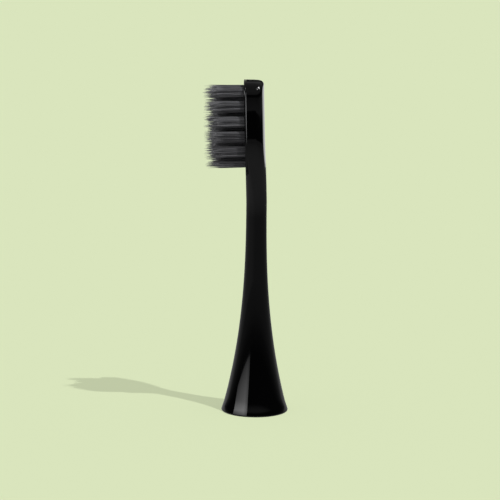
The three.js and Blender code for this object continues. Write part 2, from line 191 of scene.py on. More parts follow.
def loft(bm: bmesh.types.BMesh, loops: Sequence[Sequence[Point]]) -> None:
    """Extrudes a ring of edges through a stack of loops and closes both ends.

    Args:
        bm: The bmesh to draw in.
        loops: Loops with the same number of points, in order.
    """
    seat = bm.verts.layers.int.new("seat")
    ring = bmesh.ops.create_circle(bm, segments=len(loops[0]), radius=1)["verts"]
    for index, vert in enumerate(ring):
        vert[seat] = index
        vert.co = loops[0][index]
    first = list({edge for vert in ring for edge in vert.link_edges})
    edges = first
    for loop in loops[1:]:
        grown = bmesh.ops.extrude_edge_only(bm, edges=edges)["geom"]
        edges = [part for part in grown if isinstance(part, bmesh.types.BMEdge)]
        for part in grown:
            if isinstance(part, bmesh.types.BMVert):
                part.co = loop[part[seat]]
    bmesh.ops.edgeloop_fill(bm, edges=first)
    bmesh.ops.edgeloop_fill(bm, edges=edges)


def lathe(bm: bmesh.types.BMesh, profile: Sequence[tuple[float, float]], closed: bool, steps: int) -> None:
    """Turns a profile of radius and height about the neck's axis.

    Args:
        bm: The bmesh to draw in.
        profile: Radius and height of each point.
        closed: True for a ring, whose last point joins its first.
        steps: Facets in the full turn.
    """
    verts = [bm.verts.new((radius, 0, height)) for radius, height in profile]
    pairs = list(zip(verts, verts[1:]))
    if closed:
        pairs.append((verts[-1], verts[0]))
    edges = [bm.edges.new(pair) for pair in pairs]
    bmesh.ops.spin(bm, geom=verts + edges, cent=(0, 0, 0), axis=(0, 0, 1), dvec=(0, 0, 0),
                   angle=FULL_TURN, steps=steps, use_merge=True)
    bmesh.ops.remove_doubles(bm, verts=bm.verts[:], dist=MERGE_DISTANCE)


def prism(name: str, outline: Sequence[Point], push: Vector) -> bpy.types.Object:
    """Makes a closed solid by pushing a flat outline.

    Args:
        name: The object's name.
        outline: The points of the flat outline, in order.
        push: How far and which way it is extruded.

    Returns:
        The new object.
    """
    bm = bmesh.new()
    add_prism(bm, outline, push)
    return mesh_object(name, bm)


def add_prism(bm: bmesh.types.BMesh, outline: Sequence[Point], push: Vector) -> list[bmesh.types.BMFace]:
    """Adds an extruded outline to a bmesh.

    Args:
        bm: The bmesh to draw in.
        outline: The points of the flat outline, in order.
        push: How far and which way it is extruded.

    Returns:
        A list of the one flat face that was drawn first.
    """
    ring = bmesh.ops.create_circle(bm, segments=len(outline), radius=1, cap_ends=True)["verts"]
    for vert, point in zip(ring, outline):
        vert.co = point
    base = list({face for vert in ring for face in vert.link_faces})
    grown = bmesh.ops.extrude_face_region(bm, geom=base, use_keep_orig=True)["geom"]
    moved = [part for part in grown if isinstance(part, bmesh.types.BMVert)]
    bmesh.ops.translate(bm, verts=moved, vec=push)
    return base


# ---- The form that the pieces share ----


@dataclass(frozen=True)
class HeadForm:
    """The outer form of the moulding, from which shell, plate and tufts take their places.

    Each drop is a distance below the top. The skin is how far the rim stands outside the frame's.
    """

    height: float
    base_radius: float
    paddle_half_width: float
    neck_radius: float = 2.46
    neck_length: float = 1.0
    lip_flare: float = 0.17
    lip_height: float = 2.6
    bell_sharpness: float = 2.5
    bell_wall: float = 1.2
    paddle_depth: float = 4.77
    corner_radius: float = 3.6
    shoulder_drop: float = 0.12
    shoulder_length: float = 3.9
    edge_radius: float = 0.42
    back_edge_radius: float = 1.0
    front_rounding: float = 0.5
    back_rounding: float = 1.5
    lean: float = math.radians(1.66)
    widen_drop: tuple[float, float] = (33.0, 13.5)
    widen_power: float = 1.3
    thin_drop: tuple[float, float] = (25.0, 13.0)
    lean_drop: float = 29.0
    plate_bottom: float = 57.85
    flange: float = 0.45
    boss: float = 1.3
    boss_inset: float = 0.55
    boss_end_radius: float = 1.6
    gap: float = 0.05
    skin: float = 0.08

    @classmethod
    def from_frame(cls) -> "HeadForm":
        """Takes the form's main sizes from the frame.

        Returns:
            The form.
        """
        low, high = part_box("neck_shell")
        plate_low, plate_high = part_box("tuft_plate")
        return cls(
            height=high[2] / MM,
            base_radius=(high[1] - low[1]) / 2 / MM + cls.skin,
            paddle_half_width=(plate_high[1] - plate_low[1]) / 2 / MM,
            plate_bottom=plate_low[2] / MM,
        )

    @property
    def lean_start(self) -> float:
        """Height at which the front begins to lean."""
        return self.height - self.lean_drop

    @property
    def corner_start(self) -> float:
        """Height at which the paddle's top corners begin."""
        return self.height - self.corner_radius

    def widened(self, z: float) -> float:
        """Returns 0 on the neck and 1 on the full paddle."""
        start, end = (self.height - drop for drop in self.widen_drop)
        return ease(z, start, end) ** self.widen_power

    def bell_radius(self, z: float) -> float:
        """Follows the bell and the neck.

        Args:
            z: The height.

        Returns:
            The radius there.
        """
        remaining = max(0.0, 1 - z / (self.lean_start - self.neck_length))
        lip = self.lip_flare * max(0.0, 1 - z / self.lip_height)
        swell = (self.base_radius - self.neck_radius) * remaining**self.bell_sharpness
        return self.neck_radius + swell + lip

    def front_x(self, z: float) -> float:
        """Returns where the front face is at a height."""
        return -self.bell_radius(z) - math.tan(self.lean) * max(0.0, z - self.lean_start)

    def back_x(self, z: float) -> float:
        """Returns where the back is at a height."""
        thinned = ease(z, self.height - self.thin_drop[0], self.height - self.thin_drop[1])
        return self.front_x(z) + lerp(2 * self.bell_radius(z), self.paddle_depth, thinned)

    def half_width(self, z: float, inset: float = 0.0) -> float:
        """Follows the side of the bell, neck and paddle.

        Args:
            z: The height.
            inset: How far the side is drawn in.

        Returns:
            Half the width across Y.
        """
        rise = z - self.corner_start
        if rise > 0:
            flat = self.paddle_half_width - self.shoulder_drop - self.corner_radius
            return flat + arc_reach(self.corner_radius - inset, rise)
        along = max(0.0, 1 + rise / self.shoulder_length)
        straight = lerp(self.bell_radius(z), self.paddle_half_width, self.widened(z))
        return straight - self.shoulder_drop * along * along - inset

    def on_face(self, depth: float, y: float, z: float) -> Point:
        """Finds a point in the paddle.

        Args:
            depth: How far in from the leaning front, square to it.
            y: Its place across.
            z: The height at which the front is left.

        Returns:
            The point.
        """
        along = (z - self.lean_start) / math.cos(self.lean)
        x = -self.neck_radius - along * math.sin(self.lean) + depth * math.cos(self.lean)
        return (x, y, self.lean_start + along * math.cos(self.lean) + depth * math.sin(self.lean))

    def inward(self, depth: float) -> Vector:
        """Returns a step of that depth into the paddle, square to its front."""
        return Vector((math.cos(self.lean), 0, math.sin(self.lean))) * depth

    def face_outline(self, inset: float, depth: float, end_radius: float, steps: int = 10) -> list[Point]:
        """Returns the outline of the paddle's front at a depth.

        Args:
            inset: How far it is drawn in on every side.
            depth: How far into the paddle it lies.
            end_radius: Radius of the two lower corners.
            steps: Points on each arc.

        Returns:
            The closed outline, in order.
        """
        bottom = self.plate_bottom + inset
        top = self.height - self.gap - inset
        right = []
        for angle in spread(0, QUARTER_TURN, steps)[:-1]:
            z = bottom + end_radius * (1 - math.cos(angle))
            right.append((self.half_width(z, inset) - end_radius * (1 - math.sin(angle)), z))
        for z in spread(bottom + end_radius, self.height - self.widen_drop[1], steps):
            right.append((self.half_width(z, inset), z))
        for angle in spread(0, QUARTER_TURN, steps):
            z = lerp(self.corner_start, top, math.sin(angle))
            right.append((self.half_width(z, inset), z))
        left = [(-y, z) for y, z in reversed(right)]
        return [self.on_face(depth, y, z) for y, z in right + left]


# ---- Shader groups that several finishes share ----


@dataclass
class Wiring:
    """A node tree with short ways to add and join nodes."""

    tree: bpy.types.NodeTree

    def add(self, kind: str, **settings: object) -> bpy.types.Node:
        """Adds a node.

        Args:
            kind: The node's type name, without its ShaderNode prefix.
            **settings: Properties of the node; names in capitals set the socket of that name.

        Returns:
            The new node.
        """
        node = self.tree.nodes.new(f"ShaderNode{kind}")
        for name, value in settings.items():
            if name[0].isupper():
                node.inputs[name.replace("_", " ")].default_value = value
            else:
                setattr(node, name, value)
        return node

    def join(self, source: bpy.types.NodeSocket, target: bpy.types.NodeSocket) -> None:
        """Links an output to an input."""
        self.tree.links.new(source, target)

    def math(self, operation: str, first: bpy.types.NodeSocket | float, second: bpy.types.NodeSocket | float,
             clamp: bool = False) -> bpy.types.NodeSocket:
        """Adds a Math node and returns its output.

        Args:
            operation: The node's operation.
            first: A socket or a number.
            second: A socket or a number.
            clamp: True to keep the result between 0 and 1.

        Returns:
            The output socket.
        """
        node = self.add("Math", operation=operation, use_clamp=clamp)
        for socket, value in zip(node.inputs, (first, second)):
            if isinstance(value, bpy.types.NodeSocket):
                self.join(value, socket)
            else:
                socket.default_value = value
        return node.outputs[0]

    def ramp(self, source: bpy.types.NodeSocket, low: float, high: float,
             start: float = 0.0, end: float = 1.0) -> bpy.types.NodeSocket:
        """Maps low to start and high to end, and holds the ends.

        Args:
            source: The value to map.
            low: Where the rise begins.
            high: Where it ends.
            start: The result at low.
            end: The result at high.

        Returns:
            The mapped value.
        """
        node = self.add("MapRange", From_Min=low, From_Max=high, To_Min=start, To_Max=end)
        self.join(source, node.inputs["Value"])
        return node.outputs["Result"]

    def noise(self, place: bpy.types.NodeSocket, **settings: float) -> bpy.types.Node:
        """Adds a noise texture.

        Args:
            place: The coordinates it reads.
            **settings: Values for its sockets.

        Returns:
            The texture node.
        """
        node = self.add("TexNoise", **settings)
        self.join(place, node.inputs["Vector"])
        return node

    def emboss(self, shader: bpy.types.Node, height: bpy.types.NodeSocket, depth: float,
               strength: float = 1.0) -> None:
        """Tilts a shader's surface with a height.

        Args:
            shader: The material's shader.
            height: The height.
            depth: How deep a height of 1 is, in metres.
            strength: How much of it shows.
        """
        bump = self.add("Bump", Strength=strength, Distance=depth)
        self.join(height, bump.inputs["Height"])
        self.join(bump.outputs["Normal"], shader.inputs["Normal"])


@dataclass(frozen=True)
class SurfaceGroup:
    """A shader group that turns a place on a surface into a mask or a height."""

    name: str
    inputs: dict[str, float]
    outputs: tuple[str, ...]
    wire: Callable[[Wiring, bpy.types.Node, bpy.types.Node], None]

    def tree(self) -> bpy.types.NodeTree:
        """Builds the group the first time it is asked for.

        Returns:
            The group's node tree.
        """
        made = bpy.data.node_groups.get(self.name)
        if made:
            return made
        made = bpy.data.node_groups.new(self.name, "ShaderNodeTree")
        made.interface.new_socket("Place", in_out="INPUT", socket_type="NodeSocketVector")
        for name, value in self.inputs.items():
            socket = made.interface.new_socket(name, in_out="INPUT", socket_type="NodeSocketFloat")
            socket.default_value = value
        for name in self.outputs:
            made.interface.new_socket(name, in_out="OUTPUT", socket_type="NodeSocketFloat")
        source = made.nodes.new("NodeGroupInput")
        target = made.nodes.new("NodeGroupOutput")
        self.wire(Wiring(made), source, target)
        return made

    def place(self, wiring: Wiring, place: bpy.types.NodeSocket, **values: float) -> bpy.types.Node:
        """Puts the group into a material.

        Args:
            wiring: The material's nodes.
            place: The coordinates it reads.
            **values: Values for its inputs.

        Returns:
            The group node.
        """
        node = wiring.tree.nodes.new("ShaderNodeGroup")
        node.node_tree = self.tree()
        wiring.join(place, node.inputs["Place"])
        for name, value in values.items():
            node.inputs[name].default_value = value
        return node


# Where specks, patches and scratches start and are full in the textures that place them
SPECK_EDGE = (0.1, 0.02)
SPECKS_LEFT_OUT = 0.55
PATCH_EDGE = (0.42, 0.62)
SCRATCH_EDGE = (0.66, 0.72)
# Turn and length of the two sets of scratches
SCRATCH_SETS = ((0.35, 26.0), (-0.7, 34.0))
# Scale of the slow patterns, as a share of the fine ones'
PATCH_SCALE = 0.12
WAVE_SCALE = 0.08


def wire_dust(wiring: Wiring, source: bpy.types.Node, target: bpy.types.Node) -> None:
    """Wires small specks that gather in patches.

    Args:
        wiring: The group's nodes.
        source: The group's inputs.
        target: The group's outputs.
    """
    specks = wiring.add("TexVoronoi", feature="F1")
    wiring.join(source.outputs["Place"], specks.inputs["Vector"])
    wiring.join(source.outputs["Scale"], specks.inputs["Scale"])
    near = wiring.ramp(specks.outputs["Distance"], *SPECK_EDGE)
    keep = wiring.math("GREATER_THAN", specks.outputs["Color"], SPECKS_LEFT_OUT)
    patches = wiring.noise(source.outputs["Place"], Detail=2.0)
    wiring.join(wiring.math("MULTIPLY", source.outputs["Scale"], PATCH_SCALE), patches.inputs["Scale"])
    patchy = wiring.ramp(patches.outputs["Fac"], *PATCH_EDGE)
    mask = wiring.math("MULTIPLY", wiring.math("MULTIPLY", near, keep), patchy)
    wiring.join(wiring.math("MULTIPLY", mask, source.outputs["Amount"], clamp=True), target.inputs["Mask"])


def wire_hairlines(wiring: Wiring, source: bpy.types.Node, target: bpy.types.Node) -> None:
    """Wires fine handling scratches that run in two directions.

    Args:
        wiring: The group's nodes.
        source: The group's inputs.
        target: The group's outputs.
    """
    total: bpy.types.NodeSocket | float = 0.0
    for turn, stretch in SCRATCH_SETS:
        mapping = wiring.add("Mapping", Rotation=(turn, turn / 2, turn), Scale=(1.0, 1.0, 1 / stretch))
        wiring.join(source.outputs["Place"], mapping.inputs["Vector"])
        lines = wiring.noise(mapping.outputs["Vector"], Detail=3.0, Roughness=0.6)
        wiring.join(source.outputs["Scale"], lines.inputs["Scale"])
        total = wiring.math("MAXIMUM", total, wiring.ramp(lines.outputs["Fac"], *SCRATCH_EDGE))
    wiring.join(wiring.math("MULTIPLY", total, source.outputs["Amount"], clamp=True), target.inputs["Mask"])


def wire_skin(wiring: Wiring, source: bpy.types.Node, target: bpy.types.Node) -> None:
    """Wires the slow waviness and the fine grain of a moulded surface.

    Args:
        wiring: The group's nodes.
        source: The group's inputs.
        target: The group's outputs.
    """
    waves = wiring.noise(source.outputs["Place"], Detail=1.0)
    wiring.join(wiring.math("MULTIPLY", source.outputs["Scale"], WAVE_SCALE), waves.inputs["Scale"])
    grain = wiring.noise(source.outputs["Place"], Detail=4.0, Roughness=0.55)
    wiring.join(source.outputs["Scale"], grain.inputs["Scale"])
    fine = wiring.math("MULTIPLY", grain.outputs["Fac"], source.outputs["Grain"])
    wiring.join(wiring.math("ADD", waves.outputs["Fac"], fine), target.inputs["Height"])
    wiring.join(waves.outputs["Fac"], target.inputs["Waves"])


DUST = SurfaceGroup("dust_specks", {"Scale": 1500.0, "Amount": 1.0}, ("Mask",), wire_dust)
HAIRLINES = SurfaceGroup("hairline_scratches", {"Scale": 3000.0, "Amount": 1.0}, ("Mask",), wire_hairlines)
SKIN = SurfaceGroup("moulded_skin", {"Scale": 4000.0, "Grain": 0.3}, ("Height", "Waves"), wire_skin)


# ---- Finishes ----

# The part of a noise texture's range that most of its values lie in
NOISE_SPAN = (0.3, 0.7)


def new_material(name: str) -> tuple[bpy.types.Material, Wiring, bpy.types.Node, bpy.types.NodeSocket]:
    """Starts a material.

    Args:
        name: The material's name.

    Returns:
        The material, its wiring, its Principled shader and its Object coordinates.
    """
    material = bpy.data.materials.new(name)
    material.use_nodes = True
    wiring = Wiring(material.node_tree)
    shader = material.node_tree.nodes["Principled BSDF"]
    place = wiring.add("TexCoord").outputs["Object"]
    return material, wiring, shader, place


def blend_color(wiring: Wiring, amount: bpy.types.NodeSocket, base: Color | bpy.types.NodeSocket,
                other: Color) -> bpy.types.NodeSocket:
    """Mixes two colours by a mask.

    Args:
        wiring: The material's nodes.
        amount: 0 for the first colour, 1 for the second.
        base: The first colour, or a socket that gives it.
        other: The second colour.

    Returns:
        The mixed colour.
    """
    mix = wiring.add("Mix", data_type="RGBA")
    first, second = [socket for socket in mix.inputs if socket.type == "RGBA"]
    if isinstance(base, bpy.types.NodeSocket):
        wiring.join(base, first)
    else:
        first.default_value = (*base, 1)
    second.default_value = (*other, 1)
    wiring.join(amount, mix.inputs["Factor"])
    return [socket for socket in mix.outputs if socket.type == "RGBA"][0]


@dataclass(frozen=True)
class MouldedPlastic:
    """A moulded plastic with a skin, handling scratches and a little dust."""

    name: str
    color: Color
    dust_color: Color
    roughness: float
    dust: float
    scratches: float
    skin_depth: float
    grain: float = 0.3
    specular: float = 0.5
    dust_scale: float = 1500.0
    skin_scale: float = 4000.0
    smear_span: tuple[float, float] = (0.35, 0.7)
    smear: tuple[float, float] = (0.85, 1.25)
    scratch_roughness: float = 0.12
    scratch_depth: float = 0.6
    dust_roughness: float = 0.5

    def material(self) -> bpy.types.Material:
        """Wires the finish.

        Returns:
            The material.
        """
        material, wiring, shader, place = new_material(self.name)
        dust = DUST.place(wiring, place, Scale=self.dust_scale, Amount=self.dust).outputs["Mask"]
        lines = HAIRLINES.place(wiring, place, Amount=self.scratches).outputs["Mask"]
        skin = SKIN.place(wiring, place, Scale=self.skin_scale, Grain=self.grain)
        wiring.join(blend_color(wiring, dust, self.color, self.dust_color), shader.inputs["Base Color"])
        wear = wiring.math("MULTIPLY", lines, self.scratch_roughness)
        matt = wiring.math("MULTIPLY", dust, self.dust_roughness)
        smears = (self.roughness * share for share in self.smear)
        smear = wiring.ramp(skin.outputs["Waves"], *self.smear_span, *smears)
        rough = wiring.math("ADD", wiring.math("ADD", smear, wear), matt, clamp=True)
        wiring.join(rough, shader.inputs["Roughness"])
        shader.inputs["Specular IOR Level"].default_value = self.specular
        grooves = wiring.math("MULTIPLY", lines, self.scratch_depth)
        scored = wiring.math("SUBTRACT", skin.outputs["Height"], grooves)
        wiring.emboss(shader, scored, self.skin_depth)
        return material


@dataclass(frozen=True)
class FilamentNylon:
    """Dyed nylon filaments, each a little different, painted lighter towards their thin tapered tips for light
    shining through.
    """

    name: str = "charcoal_filaments"
    dark: Color = (0.04, 0.04, 0.044)
    light: Color = (0.2, 0.2, 0.21)
    # Lighter colour of the tips: painted light for the light that shines through the thin ends
    tip: Color = (0.3, 0.3, 0.31)
    tip_reach: tuple[float, float] = (0.72, 1.0)
    roughness: tuple[float, float] = (0.288, 0.468)
    draw_marks_scale: float = 9000.0

    def material(self) -> bpy.types.Material:
        """Wires the finish.

        Returns:
            The material.
        """
        material, wiring, shader, place = new_material(self.name)
        shade = wiring.add("Attribute", attribute_name="shade").outputs["Fac"]
        reach = wiring.add("Attribute", attribute_name="reach").outputs["Fac"]
        body = blend_color(wiring, shade, self.dark, self.light)
        # Painted light: the colour lightens towards the tips for light shining through them
        towards_tip = wiring.ramp(reach, *self.tip_reach)
        wiring.join(blend_color(wiring, towards_tip, body, self.tip), shader.inputs["Base Color"])
        marks = wiring.noise(place, Scale=self.draw_marks_scale, Detail=2.0)
        rough = wiring.ramp(marks.outputs["Fac"], *NOISE_SPAN, *self.roughness)
        wiring.join(rough, shader.inputs["Roughness"])
        return material


@dataclass(frozen=True)
class RolledSteel:
    """Thin spring strip with the fine lines that rolling leaves along it."""

    name: str = "rolled_spring_steel"
    color: Color = (0.56, 0.57, 0.58)
    stain: Color = (0.42, 0.4, 0.37)
    roughness: tuple[float, float] = (0.182, 0.39)
    line_scale: float = 16000.0
    line_squeeze: float = 0.03
    line_depth: float = 2e-6
    line_strength: float = 0.6
    stain_scale: float = 900.0
    stain_amount: float = 0.7

    def material(self) -> bpy.types.Material:
        """Wires the finish.

        Returns:
            The material.
        """
        material, wiring, shader, place = new_material(self.name)
        shader.inputs["Metallic"].default_value = 1.0
        mapping = wiring.add("Mapping", Scale=(1.0, 1.0, self.line_squeeze))
        wiring.join(place, mapping.inputs["Vector"])
        lines = wiring.noise(mapping.outputs["Vector"], Scale=self.line_scale, Detail=3.0)
        rough = wiring.ramp(lines.outputs["Fac"], *NOISE_SPAN, *self.roughness)
        wiring.join(rough, shader.inputs["Roughness"])
        spots = DUST.place(wiring, place, Scale=self.stain_scale, Amount=self.stain_amount).outputs["Mask"]
        wiring.join(blend_color(wiring, spots, self.color, self.stain), shader.inputs["Base Color"])
        wiring.emboss(shader, lines.outputs["Fac"], self.line_depth, self.line_strength)
        return material


GLOSS_BLACK = MouldedPlastic(
    name="gloss_black_abs", color=(0.0006, 0.0006, 0.0007), dust_color=(0.03, 0.03, 0.03), roughness=0.045,
    dust=0.3, scratches=0.25, skin_depth=1e-6)
SATIN_BLACK = MouldedPlastic(
    name="satin_black_abs", color=(0.0015, 0.0015, 0.0016), dust_color=(0.06, 0.06, 0.06), roughness=0.12,
    dust=0.4, scratches=0.2, skin_depth=2e-6, grain=0.6)
ACETAL = MouldedPlastic(
    name="natural_acetal", color=(0.66, 0.64, 0.57), dust_color=(0.5, 0.47, 0.4), roughness=0.38,
    dust=0.5, scratches=0.4, skin_depth=5e-6, grain=0.5)
FUSED_NYLON = MouldedPlastic(
    name="fused_nylon", color=(0.03, 0.03, 0.033), dust_color=(0.1, 0.1, 0.1), roughness=0.5, dust=0.3,
    scratches=0.0, skin_depth=1e-5, grain=0.8)
# Pale grey finish of the beads along the plate's upper seam: a painted highlight line on the rim
PAINTED_RIM_HIGHLIGHT = MouldedPlastic(
    name="painted_rim_highlight", color=(0.17, 0.17, 0.172), dust_color=(0.2, 0.2, 0.2), roughness=0.5, dust=0.3,
    scratches=0.0, skin_depth=8e-6, grain=0.8)


# ---- The moulding ----


@dataclass
class Moulding:
    """The glossy shell: bell, neck and paddle, with its socket and the recess for the plate."""

    form: HeadForm
    finish: MouldedPlastic
    arc_steps: int = 12
    back_dome: float = 0.75
    dome_steps: int = 10
    arc_margin: float = math.radians(2)
    mouth_levels: int = 6
    bell_levels: int = 44
    paddle_levels: int = 44
    corner_levels: int = 14
    rim_radius: float = 0.35
    parting_height: float = 0.01
    parting_half_width: float = 0.06
    parting_shift: float = 0.3
    seat_z: float = 6.2
    pocket_clearance: float = 0.05
    flange_room: float = 7.25
    # Radius and height of each step of the pocket above the hub's flange
    pocket_steps: tuple[tuple[float, float], ...] = (
        (2.9, 7.25), (2.9, 8.6), (3.25, 8.8), (3.25, 16.8), (2.9, 17.0), (2.9, 21.25))
    seat_overhang: float = 1.0
    recess_depth: float = 2.55
    rounding_steps: int = 4
    top_steps: int = 6

    def section(self, z: float, inset: float = 0.0) -> list[Point]:
        """Returns the outer outline at a height, with the parting ridge on both sides.

        Args:
            z: The height.
            inset: How far the outline is drawn in.

        Returns:
            The closed outline, from the back through +Y, the front and -Y.
        """
        form = self.form
        edges = [radius - arc_reach(radius, max(0.0, z - form.height + radius))
                 for radius in (form.edge_radius, form.back_edge_radius)]
        front = form.front_x(z) + edges[0] + inset
        back = form.back_x(z) - edges[1] - inset
        half = form.half_width(z) - inset
        roundest = (back - front) / 2
        radii = [lerp(roundest, size, form.widened(z)) for size in (form.back_rounding, form.front_rounding)]
        centres = ((back - radii[0], 1, radii[0]), (front + radii[1], 1, radii[1]),
                   (front + radii[1], -1, radii[1]), (back - radii[0], -1, radii[0]))
        middle = (front + back) / 2 + self.parting_shift * form.widened(z)
        points: list[Point] = []
        for quarter, (x, side, radius) in enumerate(centres):
            y = side * (half - radius)
            for angle in spread(self.arc_margin, QUARTER_TURN - self.arc_margin, self.arc_steps):
                turn = angle + quarter * QUARTER_TURN
                points.append((x + radius * math.cos(turn), y + radius * math.sin(turn), z))
            if quarter in (0, 2):
                points.extend(self.parting_ridge(middle, side * half, z, -side))
        end = points[0][1]
        points.extend((points[0][0], y, z) for y in spread(-end, end, self.dome_steps)[1:-1])
        ridge_end = middle + self.parting_half_width
        dome = self.back_dome * form.widened(z)
        return [(x - dome * (y / half) ** 2 if x > ridge_end else x, y, z) for x, y, z in points]

    def parting_ridge(self, x: float, y: float, z: float, way: int) -> list[Point]:
        """Returns three points across the fine ridge where the mould's halves met.

        Args:
            x: The ridge's place between front and back.
            y: The side of the section.
            z: The height.
            way: -1 or 1, the direction in which the outline runs along X.

        Returns:
            The points, in order.
        """
        proud = math.copysign(self.parting_height, y)
        half = self.parting_half_width
        return [(x - way * half, y, z), (x, y + proud, z), (x + way * half, y, z)]

    def circle(self, radius: float, z: float) -> list[Point]:
        """Returns a circle with its points in the same order as a section's."""
        angles = [math.atan2(y, x) for x, y, _ in self.section(0.0)]
        return [(radius * math.cos(angle), radius * math.sin(angle), z) for angle in angles]

    def outer_levels(self) -> list[float]:
        """Spaces the outer loops, from the rim's rounding to the top.

        Returns:
            Their heights.
        """
        form = self.form
        neck = form.height - form.widen_drop[0]
        levels = spread(self.rim_radius, neck, self.bell_levels)[:-1]
        levels += spread(neck, form.corner_start, self.paddle_levels)[:-1]
        top_edge = form.height - form.edge_radius
        corner = [form.corner_start + form.corner_radius * math.sin(angle)
                  for angle in spread(0, QUARTER_TURN, self.corner_levels)]
        levels += [z for z in corner if z < top_edge]
        levels += [top_edge + form.edge_radius * math.sin(angle)
                   for angle in spread(0, QUARTER_TURN, self.top_steps)]
        return levels

    def loops(self) -> list[list[Point]]:
        """Draws every loop, from the socket's end down, round the rim and up to the top.

        Returns:
            The loops, in order.
        """
        form = self.form
        hub_low, hub_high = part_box("shaft_hub")
        pocket_radius = (hub_high[1] - hub_low[1]) / 2 / MM + self.pocket_clearance
        steps = ((pocket_radius, self.seat_z), (pocket_radius, self.flange_room)) + self.pocket_steps
        loops = [self.circle(radius, z) for radius, z in reversed(steps)]
        for z in spread(self.seat_z, self.rim_radius, self.mouth_levels):
            loops.append(self.circle(form.bell_radius(z) - form.bell_wall, z))
        inner = form.bell_radius(0) - form.bell_wall
        for angle in spread(0, QUARTER_TURN, self.rounding_steps)[1:]:
            radius = inner + self.rim_radius * (1 - math.cos(angle))
            loops.append(self.circle(radius, self.rim_radius * (1 - math.sin(angle))))
        for angle in spread(QUARTER_TURN, 0, self.rounding_steps)[:-1]:
            inset = self.rim_radius * (1 - math.cos(angle))
            loops.append(self.section(self.rim_radius * (1 - math.sin(angle)), inset))
        loops += [self.section(z) for z in self.outer_levels()]
        return loops

    def seat_cutters(self) -> list[bpy.types.Object]:
        """Makes the solids that cut the plate's seat and the recess behind it.

        Returns:
            The two solids.
        """
        form = self.form
        overhang = self.seat_overhang
        side = form.paddle_half_width + overhang
        low = form.plate_bottom - form.gap
        high = form.height + overhang
        corners = ((-side, low), (side, low), (side, high), (-side, high))
        seat_outline = [form.on_face(-overhang, y, z) for y, z in corners]
        seat = prism("seat_cutter", seat_outline, form.inward(overhang + form.flange + form.gap))
        recess_outline = form.face_outline(form.boss_inset - form.gap, 0.0, form.boss_end_radius)
        recess = prism("recess_cutter", recess_outline, form.inward(self.recess_depth))
        return [seat, recess]

    def build(self) -> None:
        """Builds and dresses the shell."""
        bm = bmesh.new()
        loft(bm, self.loops())
        shell = mesh_object("glossy_shell", bm)
        carve(shell, self.seat_cutters())
        dress(shell, self.finish.material(), Body.HEAD, ["neck_shell"])


# ---- Tufts and their plate ----


@dataclass(frozen=True)
class Tuft:
    """One tuft's node, row body, place on the front of the paddle and size, in millimetres."""

    node: str
    body: str
    y: float
    z: float
    height: float
    width: float
    length: float
    corner_share: float = 0.35

    @property
    def corner(self) -> float:
        """Radius of the hole's corners."""
        return self.corner_share * min(self.height, self.width)

    def outline(self, form: HeadForm, depth: float, steps: int = 4) -> list[Point]:
        """Returns the rounded outline of the tuft's hole at a depth.

        Args:
            form: The head's form.
            depth: How far into the paddle.
            steps: Facets of each corner.

        Returns:
            The closed outline, in order.
        """
        points = []
        for quarter, (side, lift) in enumerate(((1, 1), (-1, 1), (-1, -1), (1, -1))):
            for angle in spread(0, QUARTER_TURN, steps):
                turn = angle + quarter * QUARTER_TURN
                y = self.y + side * (self.width / 2 - self.corner) + self.corner * math.cos(turn)
                z = self.z + lift * (self.height / 2 - self.corner) + self.corner * math.sin(turn)
                points.append(form.on_face(depth, y, z))
        return points


